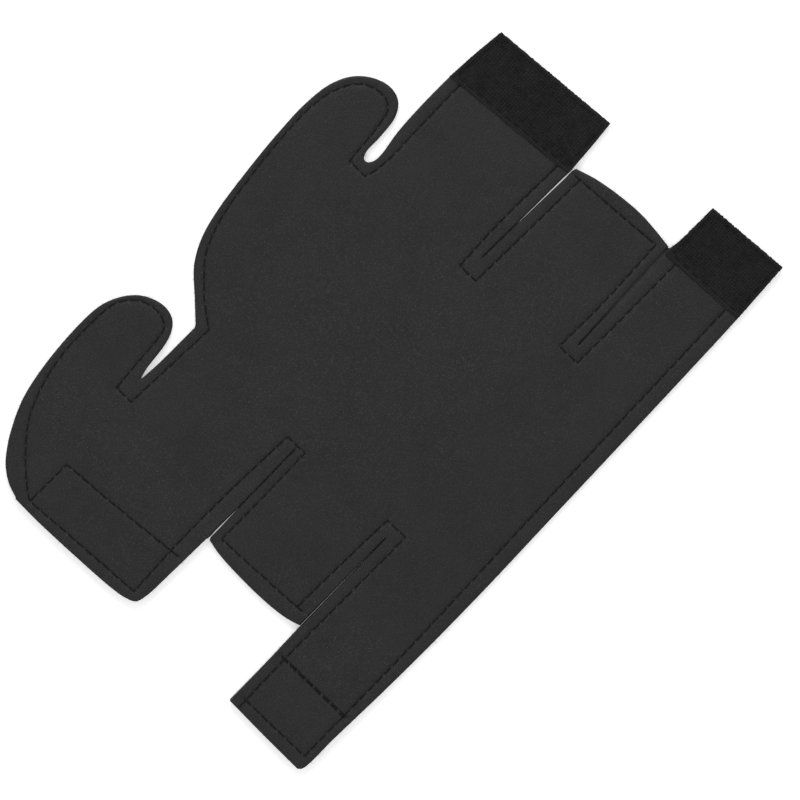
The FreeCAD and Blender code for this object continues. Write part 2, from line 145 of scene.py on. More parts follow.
# Tape pads: corners in plan, clockwise from the inner top corner
FRONT_PADS = {
    "upper_right": [(77.3, 42.4), (97.6, 40.3), (100.3, -2.3), (80.6, -3.4)],
    "lower_right": [(83.1, -41.4), (103.2, -42.2), (104.7, -69.6), (84.1, -70.4)],
}
REAR_PADS = {
    "upper_left": [(-84.9, 46.7), (-103.3, 47.0), (-101.5, 2.8), (-82.0, 2.6)],
    "lower_left": [(-82.4, -40.9), (-102.3, -41.0), (-102.4, -68.0), (-82.6, -68.2)],
}


# ---------------------------------------------------------------- plan curves
def smooth(points, step):
    """Points about step apart on a curve through the given points, ends included."""
    p = np.array(points, float)
    if len(p) == 2:
        n = max(1, round(np.linalg.norm(p[1] - p[0]) / step))
        return p[0] + (p[1] - p[0]) * np.linspace(0, 1, n + 1)[:, None]
    p = np.vstack([2 * p[0] - p[1], p, 2 * p[-1] - p[-2]])
    knots = np.concatenate([[0], np.cumsum(np.sqrt(np.linalg.norm(np.diff(p, axis=0), axis=1)))])
    out = []
    for i in range(1, len(p) - 2):
        t0, t1, t2, t3 = knots[i - 1:i + 3]
        n = max(2, round(np.linalg.norm(p[i + 1] - p[i]) / step * 4))
        t = np.linspace(t1, t2, n, endpoint=False)[:, None]
        a1 = (t1 - t) / (t1 - t0) * p[i - 1] + (t - t0) / (t1 - t0) * p[i]
        a2 = (t2 - t) / (t2 - t1) * p[i] + (t - t1) / (t2 - t1) * p[i + 1]
        a3 = (t3 - t) / (t3 - t2) * p[i + 1] + (t - t2) / (t3 - t2) * p[i + 2]
        b1 = (t2 - t) / (t2 - t0) * a1 + (t - t0) / (t2 - t0) * a2
        b2 = (t3 - t) / (t3 - t1) * a2 + (t - t1) / (t3 - t1) * a3
        out.append((t2 - t) / (t2 - t1) * b1 + (t - t1) / (t2 - t1) * b2)
    return spaced(np.vstack(out + [p[-2:-1]]), step)


def spaced(line, step):
    along = np.concatenate([[0], np.cumsum(np.linalg.norm(np.diff(line, axis=0), axis=1))])
    at = np.linspace(0, along[-1], max(2, round(along[-1] / step) + 1))
    return np.stack([np.interp(at, along, line[:, k]) for k in range(2)], axis=1)


def outline_points(step):
    """The closed cut edge, without its last point repeated."""
    parts = []
    for stretch in OUTLINE:
        parts.append(smooth(stretch, step))
    loop = [parts[0][0]]
    for part in parts:
        for point in part:
            if np.linalg.norm(point - loop[-1]) > 0.01:
                loop.append(point)
    if np.linalg.norm(loop[0] - loop[-1]) < 0.01:
        loop.pop()
    return np.array(loop)


def outward(loop):
    """Unit normals of a clockwise closed line, pointing out of it."""
    along = np.roll(loop, -1, axis=0) - np.roll(loop, 1, axis=0)
    along /= np.maximum(np.linalg.norm(along, axis=1), 1e-9)[:, None]
    return np.stack([-along[:, 1], along[:, 0]], axis=1)


def tree_of(points):
    tree = KDTree(len(points))
    for i, (x, y) in enumerate(points):
        tree.insert((x, y, 0), i)
    tree.balance()
    return tree


def nearest(tree, points):
    """The index of the nearest tree point and how far it is, for each point."""
    found = [tree.find((x, y, 0)) for x, y in points]
    return np.array([f[1] for f in found]), np.array([f[2] for f in found])


def inside(points, loop):
    """Whether each point is inside a closed line."""
    x, y = points[:, 0], points[:, 1]
    hit = np.zeros(len(points), bool)
    for (x0, y0), (x1, y1) in zip(loop, np.roll(loop, -1, axis=0)):
        if y0 != y1:
            hit ^= ((y0 > y) != (y1 > y)) & (x < (x1 - x0) * (y - y0) / (y1 - y0) + x0)
    return hit


# ---------------------------------------------------------------- fields over the plan
def noise2(x, y, scale, seed):
    """Smooth value noise from -1 to 1 with features of about the given size."""
    cells = np.random.default_rng(seed).uniform(-1, 1, (256, 256))
    u, w = x / scale + 500.3, y / scale + 500.7
    i, j = np.floor(u).astype(int), np.floor(w).astype(int)
    f, g = u - i, w - j
    f, g = f * f * (3 - 2 * f), g * g * (3 - 2 * g)
    c = lambda a, b: cells[a % 256, b % 256]
    return (c(i, j) * (1 - f) + c(i + 1, j) * f) * (1 - g) + (c(i, j + 1) * (1 - f) + c(i + 1, j + 1) * f) * g


def ease(t):
    t = np.clip(t, 0, 1)
    return t * t * (3 - 2 * t)


def in_tongue_band(y):
    return (y < -1.2) & (y > -39.0)


def lift(x, y):
    """How far the sheet lies above the CAD's level: down to the floor except over the hook pads at the left."""
    down = LINING_BOTTOM - 0.1
    held = np.where(in_tongue_band(y), 0.0, ease((-x - 58.0) / 26.0))
    wave = 0.10 * (1 + noise2(x, y, 34.0, 3)) * ease((np.hypot(x * 0.8, y) - 18.0) / 60.0)
    return -down * (1 - held) + wave


class Seams:
    """Every seam line, densely sampled, with the stitch phase along it."""

    def __init__(self):
        self.runs = []
        dense, phase, tangent = [], [], []
        for run in SEAMS:
            line = np.vstack([smooth(stretch, 0.1) for stretch in run])
            keep = np.concatenate([[True], np.linalg.norm(np.diff(line, axis=0), axis=1) > 1e-6])
            line = line[keep]
            along = np.concatenate([[0], np.cumsum(np.linalg.norm(np.diff(line, axis=0), axis=1))])
            stitches = max(1, round(along[-1] / STITCH))
            length = along[-1] / stitches
            self.runs.append((line, along, length, stitches))
            dense.append(line)
            phase.append(along / length % 1.0)
        self.dense, self.phase = np.vstack(dense), np.concatenate(phase)
        self.tree = tree_of(self.dense)


seams = Seams()
edge = outline_points(0.2)
edge_tree = tree_of(edge)


def along_slits(points):
    """Which points of the cut edge lie in a slit."""
    found = np.zeros(len(points), bool)
    for (ax, ay), (bx, by) in SLIT_LINES.values():
        t = (points[:, 0] - ax) / (bx - ax)
        found |= (t > -0.01) & (t < 0.995) & (np.abs(points[:, 1] - (ay + (by - ay) * t)) < 0.5)
    return found


in_slit = along_slits(edge)


def face_height(points):
    """The grain side's height above its plain level: grooves, needle holes, rounded cut edge, soft unevenness."""
    x, y = points[:, 0], points[:, 1]
    near, far = nearest(seams.tree, points)
    where, rim = nearest(edge_tree, points)
    hole = np.abs(seams.phase[near] - np.round(seams.phase[near]))  # 0 at a needle hole, 0.5 in mid stitch
    groove = -0.20 * np.exp(-(far / 0.50) ** 2) * (0.5 + 0.5 * np.cos(2 * math.pi * hole) * 0.4)
    pull = -0.13 * np.exp(-(far / 1.4) ** 2)
    pit = -0.38 * np.exp(-(far / 0.34) ** 2 - (hole * STITCH / 0.42) ** 2)
    swell = 0.07 * np.exp(-((far - 1.5) / 0.9) ** 2)
    outer_cut = -0.30 * np.clip(1 - rim / 0.75, 0, 1) ** 2
    slit_cut = -0.70 * np.clip(1 - rim / 0.40, 0, 1) ** 2
    cut = np.where(in_slit[where], slit_cut, outer_cut)
    uneven = 0.045 * noise2(x, y, 7.0, 11) + 0.022 * noise2(x, y, 2.6, 12)
    return groove + pull + pit + swell + cut + uneven


def lining_height(points):
    """The lining's underside, as height above its plain level."""
    x, y = points[:, 0], points[:, 1]
    _, far = nearest(seams.tree, points)
    _, rim = nearest(edge_tree, points)
    groove = 0.16 * np.exp(-(far / 0.6) ** 2)
    cut = 0.15 * np.clip(1 - rim / 0.6, 0, 1) ** 2
    return groove + cut + 0.03 * noise2(x, y, 1.3, 21)


# ---------------------------------------------------------------- triangulated plan, divided at the bends
def slit_y(name, x):
    (x0, y0), (x1, y1) = SLIT_LINES[name]
    return y0 + (y1 - y0) * (x - x0) / (x1 - x0)


def cut_lines():
    """Where the plan is divided into pieces that each cross one bend."""
    left, right = -120.0, 120.0
    return [
        ((MID, -90), (MID, 90)),
        ((LEFT_MID, -90), (LEFT_MID, 46.9)),
        ((LEFT_MID, slit_y("left_upper", LEFT_MID)), SLIT_LINES["left_upper"][0]),
        ((LEFT_MID, slit_y("left_lower", LEFT_MID)), SLIT_LINES["left_lower"][0]),
        ((LEFT_OUTER, slit_y("left_upper", LEFT_OUTER)), (LEFT_OUTER, 90)),
        ((LEFT_OUTER, -90), (LEFT_OUTER, slit_y("left_lower", LEFT_OUTER))),
        ((LEFT_OUTER, LEFT_NOTCH[1]), LEFT_NOTCH),
        ((RIGHT_MID, -90), (RIGHT_MID, 90)),
        ((RIGHT_MID, slit_y("right_upper", RIGHT_MID)), SLIT_LINES["right_upper"][0]),
        ((RIGHT_MID, slit_y("right_lower", RIGHT_MID)), SLIT_LINES["right_lower"][0]),
        ((RIGHT_MID, RIGHT_NOTCH[1]), RIGHT_NOTCH),
        ((RIGHT_OUTER, slit_y("right_upper", RIGHT_OUTER)), (RIGHT_OUTER, RIGHT_NOTCH[1])),
        ((RIGHT_OUTER, -90), (RIGHT_OUTER, slit_y("right_lower", RIGHT_OUTER))),
    ]


# Each piece of the sheet: the two bodies it joins and how far its bend reaches before and after the axis
PIECES = {
    "palm_left": ("palm_centre", 6, 6),
    "upper_left_flap": ("palm_left", 6, 6),
    "left_tongue": ("palm_left", 6, 6),
    "lower_left_strap": ("palm_left", 6, 6),
    "left_lobe_tip": ("upper_left_flap", 6, 6),
    "upper_left_end": ("upper_left_flap", 6, 6),
    "lower_left_end": ("lower_left_strap", 6, 6),
    "palm_right": ("palm_centre", 6, 6),
    "upper_right_flap": ("palm_right", 1.4, 8),
    "right_tongue": ("palm_right", 1.4, 8),
    "lower_right_strap": ("palm_right", 1.4, 8),
    "right_lobe_tip": ("palm_right", 5, 6),
    "upper_right_end": ("upper_right_flap", 7, 1.5),
    "lower_right_end": ("lower_right_strap", 7, 1.5),
}


def piece_at(x, y):
    """The name of the piece that holds a point of the plan."""
    if MID > x > LEFT_MID:
        return "palm_left"
    if MID <= x < RIGHT_MID:
        return "palm_right"
    if x <= LEFT_MID:
        if y > LEFT_NOTCH[1] and x > LEFT_OUTER:
            return "left_lobe_tip"
        if y > slit_y("left_upper", x):
            return "upper_left_flap" if x > LEFT_OUTER else "upper_left_end"
        if y > slit_y("left_lower", x):
            return "left_tongue"
        return "lower_left_strap" if x > LEFT_OUTER else "lower_left_end"
    if y > RIGHT_NOTCH[1]:
        return "right_lobe_tip"
    if y > slit_y("right_upper", x):
        return "upper_right_flap" if x < RIGHT_OUTER else "upper_right_end"
    if y > slit_y("right_lower", x):
        return "right_tongue"
    return "lower_right_strap" if x < RIGHT_OUTER else "lower_right_end"


def bend_piece(obj):
    """Bakes a piece's placement into its mesh; the piece is not bent or tied to its bodies."""
    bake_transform(obj)


def triangulate(outline_step, grid_step, rows, row_step, rims):
    """Points and triangles of the whole plan, denser along the seams and the cut edge."""
    loop = outline_points(outline_step)
    normals = outward(loop)
    points, edges = [tuple(p) for p in loop], []
    count = len(points)
    edges += [(i, (i + 1) % count) for i in range(count)]
    for a, b in cut_lines():
        first = len(points)
        line = smooth([a, b], grid_step)
        points += [tuple(p) for p in line]
        edges += [(first + i, first + i + 1) for i in range(len(line) - 1)]
    free = []
    for inset in rims:
        free.append(loop - normals * inset)
    for line, along, _, _ in seams.runs:
        path = spaced(line, row_step)
        t = np.gradient(path, axis=0)
        t /= np.linalg.norm(t, axis=1)[:, None]
        n = np.stack([-t[:, 1], t[:, 0]], axis=1)
        free += [path + n * o for o in rows]
    rings = np.vstack(free)
    gx, gy = np.meshgrid(np.arange(-106, 106, grid_step), np.arange(-73, 73, grid_step * 0.866))
    gx = gx + (np.arange(len(gx)) % 2)[:, None] * grid_step / 2
    grid = np.stack([gx.ravel(), gy.ravel()], axis=1)
    _, d = nearest(seams.tree, grid)
    _, e = nearest(edge_tree, grid)
    grid = grid[(d > max(rows) + 0.35 * grid_step) & (e > max(rims) + 0.35 * grid_step)]
    _, e = nearest(edge_tree, rings)
    keep = e > min(rims) * 0.8
    extra = np.vstack([rings[keep], grid])
    extra = extra[inside(extra, loop)]
    cell = np.round(extra / (min(outline_step, row_step) * 0.45)).astype(int)
    _, first = np.unique(cell, axis=0, return_index=True)
    extra = extra[np.sort(first)]
    points += [tuple(p) for p in extra]
    verts, _, faces, *_ = delaunay_2d_cdt([Vector(p) for p in points], edges, [], 1, 1e-5)
    v = np.array([tuple(p) for p in verts])
    f = np.array([face for face in faces if len(face) == 3])
    a, b, c = v[f[:, 0]], v[f[:, 1]], v[f[:, 2]]
    area = (b[:, 0] - a[:, 0]) * (c[:, 1] - a[:, 1]) - (b[:, 1] - a[:, 1]) * (c[:, 0] - a[:, 0])
    f[area < 0] = f[area < 0][:, ::-1]
    return v, f[np.abs(area) > 1e-7]


def vertex_normals(v3, f):
    face = np.cross(v3[f[:, 1]] - v3[f[:, 0]], v3[f[:, 2]] - v3[f[:, 0]])
    out = np.zeros_like(v3)
    for k in range(3):
        np.add.at(out, f[:, k], face)
    return out / np.maximum(np.linalg.norm(out, axis=1), 1e-12)[:, None]


def new_mesh(name, verts, faces, loop_normals=None, material=None):
    """A mesh object from millimetre points, which also keep their rest place for the materials."""
    mesh = bpy.data.meshes.new(name)
    mesh.from_pydata((np.asarray(verts) * MM).tolist(), [], [tuple(int(i) for i in f) for f in faces])
    mesh.polygons.foreach_set("use_smooth", np.ones(len(mesh.polygons), bool))
    mesh.update()
    place = mesh.attributes.new("rest_place", "FLOAT_VECTOR", "POINT")
    place.data.foreach_set("vector", (np.asarray(verts, np.float32) * MM).ravel())
    if loop_normals is not None:
        mesh.normals_split_custom_set(loop_normals.tolist())
    obj = bpy.data.objects.new(name, mesh)
    bpy.context.scene.collection.objects.link(obj)
    if material:
        mesh.materials.append(material)
    return obj


def sheet_layer(name, v, f, which, top, bottom, material, jitter=None):
    """One layer of one piece as a closed solid: its top, its underside and the wall round it."""
    tri = f[which]
    used, tri = np.unique(tri, return_inverse=True)
    tri = tri.reshape(-1, 3)
    plan = v[used]
    n = len(used)
    up, down = top["z"][used], bottom["z"][used]
    verts = np.vstack([np.column_stack([plan, up]), np.column_stack([plan, down])])
    pairs = np.vstack([tri[:, [0, 1]], tri[:, [1, 2]], tri[:, [2, 0]]])
    keys = {(a, b) for a, b in pairs.tolist()}
    rim = np.array([(a, b) for a, b in keys if (b, a) not in keys])
    walls = np.column_stack([rim[:, 1], rim[:, 0], rim[:, 0] + n, rim[:, 1] + n])
    faces = [*tri.tolist(), *(tri[:, ::-1] + n).tolist(), *walls.tolist()]
    wall_n = plan[rim[:, 1]] - plan[rim[:, 0]]
    wall_n = np.column_stack([wall_n[:, 1], -wall_n[:, 0], np.zeros(len(rim))])
    wall_n /= np.maximum(np.linalg.norm(wall_n, axis=1), 1e-9)[:, None]
    loops = np.vstack([
        top["n"][used][tri.ravel()], bottom["n"][used][tri[:, ::-1].ravel()], np.repeat(wall_n, 4, axis=0),
    ])
    return new_mesh(name, verts, faces, loops, material)


# ---------------------------------------------------------------- materials
def material(name):
    mat = bpy.data.materials.new(name)
    mat.use_nodes = True
    tree = mat.node_tree
    bsdf = tree.nodes["Principled BSDF"]
    place = tree.nodes.new("ShaderNodeAttribute")
    place.attribute_name = "rest_place"
    return mat, tree, bsdf, place.outputs["Vector"]


def node(tree, kind, inputs=None, **settings):
    made = tree.nodes.new("ShaderNode" + kind)
    for key, value in settings.items():
        setattr(made, key, value)
    for key, value in (inputs or {}).items():
        if isinstance(value, bpy.types.NodeSocket):
            tree.links.new(value, made.inputs[key])
        else:
            made.inputs[key].default_value = value
    return made


def ramp(tree, value, stops):
    made = tree.nodes.new("ShaderNodeValToRGB")
    tree.links.new(value, made.inputs["Fac"])
    elements = made.color_ramp.elements
    while len(elements) < len(stops):
        elements.new(0.5)
    for element, (position, level) in zip(elements, stops):
        element.position = position
        element.color = (*level, 1) if isinstance(level, tuple) else (level, level, level, 1)
    return made.outputs["Color"]


def math_node(tree, operation, a, b):
    made = tree.nodes.new("ShaderNodeMath")
    made.operation = operation
    for socket, value in zip(made.inputs, (a, b)):
        if isinstance(value, bpy.types.NodeSocket):
            tree.links.new(value, socket)
        else:
            socket.default_value = value
    return made.outputs[0]


def leather_material():
    mat, tree, bsdf, place = material("face_leather")
    pebble = node(tree, "TexVoronoi", {"Vector": place, "Scale": 1500.0, "Randomness": 1.0}, feature="F1")
    crease = node(tree, "TexVoronoi", {"Vector": place, "Scale": 900.0}, feature="DISTANCE_TO_EDGE")
    fine = node(tree, "TexNoise", {"Vector": place, "Scale": 3200.0, "Detail": 2.0, "Roughness": 0.6})
    cloud = node(tree, "TexNoise", {"Vector": place, "Scale": 45.0, "Detail": 3.0, "Roughness": 0.55})
    patch = node(tree, "TexNoise", {"Vector": place, "Scale": 240.0, "Detail": 3.0, "Roughness": 0.6})
    base = ramp(tree, cloud.outputs["Fac"], [(0.3, (0.0058, 0.0058, 0.0062)), (0.7, (0.0092, 0.0090, 0.0092))])
    speck = ramp(tree, fine.outputs["Fac"], [(0.56, 0.0), (0.74, 1.0)])
    mix = node(tree, "MixRGB", {"Fac": speck, "Color1": base, "Color2": (0.055, 0.054, 0.056, 1)})
    tree.links.new(mix.outputs[0], bsdf.inputs["Base Color"])
    rough = ramp(tree, patch.outputs["Fac"], [(0.3, 0.52), (0.7, 0.66)])
    tree.links.new(rough, bsdf.inputs["Roughness"])
    height = math_node(tree, "MULTIPLY", pebble.outputs["Distance"], -0.5)
    creased = ramp(tree, crease.outputs["Distance"], [(0.0, 0.0), (0.12, 1.0)])
    height = math_node(tree, "ADD", height, math_node(tree, "MULTIPLY", creased, 0.35))
    height = math_node(tree, "ADD", height, math_node(tree, "MULTIPLY", fine.outputs["Fac"], 0.55))
    bump = node(tree, "Bump", {"Height": height, "Strength": 0.55, "Distance": 0.00016})
    tree.links.new(bump.outputs[0], bsdf.inputs["Normal"])
    bsdf.inputs["Specular IOR Level"].default_value = 0.34
    return mat


def lining_material():
    mat, tree, bsdf, place = material("lining")
    fibre = node(tree, "TexNoise", {"Vector": place, "Scale": 2400.0, "Detail": 3.0, "Roughness": 0.7})
    cloud = node(tree, "TexNoise", {"Vector": place, "Scale": 60.0, "Detail": 3.0})
    nap = node(tree, "TexNoise", {"Vector": place, "Scale": 500.0, "Detail": 4.0, "Distortion": 1.5})
    base = ramp(tree, cloud.outputs["Fac"], [(0.3, (0.012, 0.012, 0.0125)), (0.7, (0.019, 0.0185, 0.0185))])
    fleck = ramp(tree, fibre.outputs["Fac"], [(0.55, 0.0), (0.75, 0.8)])
    mix = node(tree, "MixRGB", {"Fac": fleck, "Color1": base, "Color2": (0.05, 0.049, 0.05, 1)})
    tree.links.new(mix.outputs[0], bsdf.inputs["Base Color"])
    height = math_node(tree, "ADD", fibre.outputs["Fac"], math_node(tree, "MULTIPLY", nap.outputs["Fac"], 0.8))
    bump = node(tree, "Bump", {"Height": height, "Strength": 0.8, "Distance": 0.0003})
    tree.links.new(bump.outputs[0], bsdf.inputs["Normal"])
    bsdf.inputs["Roughness"].default_value = 0.92
    bsdf.inputs["Specular IOR Level"].default_value = 0.12
    bsdf.inputs["Sheen Weight"].default_value = 0.04
    return mat


def thread_material():
    mat, tree, bsdf, place = material("thread")
    ply = node(tree, "TexNoise", {"Vector": place, "Scale": 3500.0, "Detail": 2.0})
    shade = ramp(tree, ply.outputs["Fac"], [(0.35, (0.0025, 0.0025, 0.0027)), (0.7, (0.008, 0.008, 0.0083))])
    tree.links.new(shade, bsdf.inputs["Base Color"])
    bump = node(tree, "Bump", {"Height": ply.outputs["Fac"], "Strength": 0.4, "Distance": 0.00006})
    tree.links.new(bump.outputs[0], bsdf.inputs["Normal"])
    bsdf.inputs["Roughness"].default_value = 0.6
    bsdf.inputs["Specular IOR Level"].default_value = 0.18
    return mat


def weave_material(name, low, high, spec):
    """Woven tape ground: fine over-and-under yarns, 0.45 mm apart."""
    mat, tree, bsdf, place = material(name)
    wave_a = node(tree, "TexWave", {"Vector": place, "Scale": 350.0, "Distortion": 0.6, "Detail": 1.0},
                  wave_type="BANDS", bands_direction="X")
    wave_b = node(tree, "TexWave", {"Vector": place, "Scale": 350.0, "Distortion": 0.6, "Detail": 1.0},
                  wave_type="BANDS", bands_direction="Y")
    grain = node(tree, "TexNoise", {"Vector": place, "Scale": 1800.0, "Detail": 3.0})
    weave = math_node(tree, "MULTIPLY", wave_a.outputs["Fac"], wave_b.outputs["Fac"])
    mixed = math_node(tree, "ADD", math_node(tree, "MULTIPLY", weave, 0.6),
                      math_node(tree, "MULTIPLY", grain.outputs["Fac"], 0.5))
    shade = ramp(tree, mixed, [(0.2, (low,) * 3), (0.75, (high,) * 3)])
    tree.links.new(shade, bsdf.inputs["Base Color"])
    bump = node(tree, "Bump", {"Height": mixed, "Strength": 0.7, "Distance": 0.0002})
    tree.links.new(bump.outputs[0], bsdf.inputs["Normal"])
    bsdf.inputs["Roughness"].default_value = 0.85
    bsdf.inputs["Specular IOR Level"].default_value = spec
    return mat


def fibre_material(name, low, high, rough, spec):
    mat, tree, bsdf, place = material(name)
    vary = node(tree, "TexNoise", {"Vector": place, "Scale": 900.0, "Detail": 3.0, "Roughness": 0.7})
    patch = node(tree, "TexNoise", {"Vector": place, "Scale": 130.0, "Detail": 2.0})
    mixed = math_node(tree, "ADD", math_node(tree, "MULTIPLY", vary.outputs["Fac"], 0.75),
                      math_node(tree, "MULTIPLY", patch.outputs["Fac"], 0.25))
    shade = ramp(tree, mixed, [(0.38, (low,) * 3), (0.68, (high,) * 3)])
    tree.links.new(shade, bsdf.inputs["Base Color"])
    bsdf.inputs["Roughness"].default_value = rough
    bsdf.inputs["Specular IOR Level"].default_value = spec
    return mat


leather = leather_material()
lining = lining_material()
thread = thread_material()
tape_ground = weave_material("tape_ground", 0.010, 0.024, 0.15)
pile = fibre_material("loop_pile", 0.012, 0.055, 0.8, 0.3)
hooks = fibre_material("hook_plastic", 0.006, 0.014, 0.45, 0.35)
lint = fibre_material("edge_fibre", 0.012, 0.05, 0.9, 0.1)


# ---------------------------------------------------------------- leather and lining
plan, triangles = triangulate(0.5, 1.15, (0.0, 0.3, -0.3, 0.65, -0.65, 1.2, -1.2), 0.42, (0.18, 0.45, 0.9))
down = lift(plan[:, 0], plan[:, 1])
top_z = FACE_TOP + down + face_height(plan)
middle_z = FACE_BOTTOM + down + 0 * top_z
under_z = LINING_BOTTOM + down + lining_height(plan)
cut_back = nearest(edge_tree, plan)[1]


def surface(z, facing):
    return {"z": z, "n": facing * vertex_normals(np.column_stack([plan, z]), triangles)}


top = surface(top_z, 1)
seat_up = surface(middle_z, 1)
seat_down = surface(middle_z, -1)
under = surface(under_z, -1)
centres = plan[triangles].mean(axis=1)
piece_of = np.array([piece_at(x, y) for x, y in centres])

GROUPS = {
    "palm_left": ("palm_centre", "palm_left"),
    "palm_right": ("palm_right",),
    "left_lobe_tip": ("left_lobe_tip", "upper_left_flap"),
    "right_lobe_tip": ("right_lobe_tip",),
}
for name in PIECES:
    which = piece_of == name
    stands_for = GROUPS.get(name, (name,))
    for layer, upper, lower, mat in (("leather", top, seat_down, leather), ("lining", seat_up, under, lining)):
        obj = sheet_layer(f"{name}_sheet_{layer}", plan, triangles, which, upper, lower, mat)
        bend_piece(obj)
        slot = "face_leather" if layer == "leather" else "lining"
        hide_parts(*[f"{body}_{layer}" for body in stands_for])


# ---------------------------------------------------------------- threads and fibres
class Tubes:
    """Collects many short tubes, each round a line of points, into one mesh."""

    def __init__(self):
        self.verts, self.faces, self.count = [], [], 0

    def add(self, line, radii, sides=6, twist=0.0):
        line, n = np.asarray(line, float), len(line)
        radii = np.broadcast_to(np.asarray(radii, float), n)
        t = np.gradient(line, axis=0)
        t /= np.maximum(np.linalg.norm(t, axis=1), 1e-9)[:, None]
        ref = np.array([0.0, 0.0, 1.0]) if abs(t[:, 2]).max() < 0.9 else np.array([0.31, 0.77, 0.55])
        u = np.cross(t, ref)
        u /= np.maximum(np.linalg.norm(u, axis=1), 1e-9)[:, None]
        w = np.cross(t, u)
        angle = np.arange(sides) * 2 * math.pi / sides
        phase = np.arange(n)[:, None] * twist + angle[None, :]
        ring = (np.cos(phase)[..., None] * u[:, None] + np.sin(phase)[..., None] * w[:, None]) * radii[:, None, None]
        self.verts.append((line[:, None] + ring).reshape(-1, 3))
        i = np.arange(n - 1)[:, None] * sides + np.arange(sides)[None, :] + self.count
        j = np.arange(n - 1)[:, None] * sides + (np.arange(sides)[None, :] + 1) % sides + self.count
        self.faces += np.stack([i, i + sides, j + sides, j], axis=-1).reshape(-1, 4).tolist()
        self.faces.append([self.count + k for k in range(sides)])
        self.faces.append([self.count + (n - 1) * sides + k for k in range(sides)][::-1])
        self.count += n * sides

    def build(self, name, mat):
        return new_mesh(name, np.vstack(self.verts), self.faces, None, mat)


plan_tree = tree_of(plan)


def level(z, points):
    """The height of a surface given at the plan's points, at other points of the plan."""
    out = []
    for x, y in points:
        found = plan_tree.find_n((x, y, 0), 3)
        weights = np.array([1 / (f[2] + 0.02) for f in found])
        out.append((weights * z[[f[1] for f in found]]).sum() / weights.sum())
    return np.array(out)


def stitch(tubes, path, height, sink, radius, upward):
    """One stitch: a two-ply thread that rises out of one needle hole and dives into the next."""
    n = len(path)
    t = np.linspace(0, 1, n)
    arch = np.clip(np.minimum(t, 1 - t) / 0.16, 0, 1) ** 0.6
    z = height + upward * (arch * sink[1] + (1 - arch) * sink[0])
    for ply in (0.0, math.pi):
        along = np.gradient(path, axis=0)
        along /= np.linalg.norm(along, axis=1)[:, None]
        across = np.stack([-along[:, 1], along[:, 0]], axis=1)
        turn = ply + t * 2 * math.pi * 1.6
        shift = 0.42 * radius
        line = np.column_stack([path + across * (shift * np.cos(turn))[:, None], z + shift * np.sin(turn) * 0.8])
        tubes.add(line, radius * 0.66 * (0.55 + 0.45 * arch), sides=5)


needle_side = {name: Tubes() for name in PIECES}
bobbin_side = {name: Tubes() for name in PIECES}
for line, along, length, count in seams.runs:
    for k in range(count):
        wander = rng.uniform(-0.05, 0.05, 2)
        gap = 0.10 + rng.uniform(-0.015, 0.015)
        at = (k + np.linspace(gap, 1 - gap, 9)) * length
        path = np.stack([np.interp(at, along, line[:, c]) for c in range(2)], axis=1) + wander
        name = piece_at(*path[4])
        flat_level = FACE_TOP + lift(path[:, 0], path[:, 1])
        stitch(needle_side[name], path, flat_level - 0.16, (-0.42, 0.0), THREAD_RADIUS, 1)
        at = (k + 0.5 + np.linspace(gap, 1 - gap, 9)) * length
        if at[-1] < along[-1]:
            path = np.stack([np.interp(at, along, line[:, c]) for c in range(2)], axis=1) + wander
            name = piece_at(*path[4])
            flat_level = LINING_BOTTOM + lift(path[:, 0], path[:, 1])
            stitch(bobbin_side[name], path, flat_level + 0.14, (-0.35, 0.0), THREAD_RADIUS * 0.8, -1)

for name in PIECES:
    both = needle_side[name]
    for tubes in (bobbin_side[name],):
        both.faces += [[i + both.count for i in face] for face in tubes.faces]
        both.verts += tubes.verts
        both.count += tubes.count
    obj = both.build(f"{name}_stitches", thread)
    bend_piece(obj)
    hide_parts(*[f"{body}_seam" for body in GROUPS.get(name, (name,))])

# Fibres that stand out from the raw cut edge, and lint caught along it
fibres = {name: Tubes() for name in PIECES}
normals = outward(edge)
open_edge = np.flatnonzero(~in_slit)
for pick in rng.choice(open_edge, 2600):
    here, out = edge[pick], normals[pick]
    side = np.array([-out[1], out[0]])
    length = rng.gamma(2.0, 0.16)
    lean, curl = rng.normal(0, 0.9), rng.normal(0, 0.7)
    t = np.linspace(0, 1, 4)
    run = np.outer(t, out + side * lean) + np.outer(t * t, side * curl)
    run *= min(length, 1.1) / max(np.linalg.norm(run[-1]), 1e-6)
    x, y = (here - out * 0.12)[:, None] + run.T
    base = FACE_TOP + lift(x, y) - rng.uniform(0.25, 1.5)
    name = piece_at(*here)
    fibres[name].add(np.column_stack([x, y, base + t * rng.normal(0, 0.15)]), 0.035 * (1 - 0.5 * t), sides=3)
for name, tubes in fibres.items():
    if tubes.count:
        obj = tubes.build(f"{name}_edge_fibres", lint)
        bend_piece(obj)


# ---------------------------------------------------------------- tape pads
def quad_point(corners, across, along):
    """A point of a pad, across from its inner to its outer edge and along from top to bottom, both 0 to 1."""
    a, b, c, d = (np.array(p) for p in corners)
    across, along = np.asarray(across)[..., None], np.asarray(along)[..., None]
    return (a * (1 - across) + b * across) * (1 - along) + (d * (1 - across) + c * across) * along


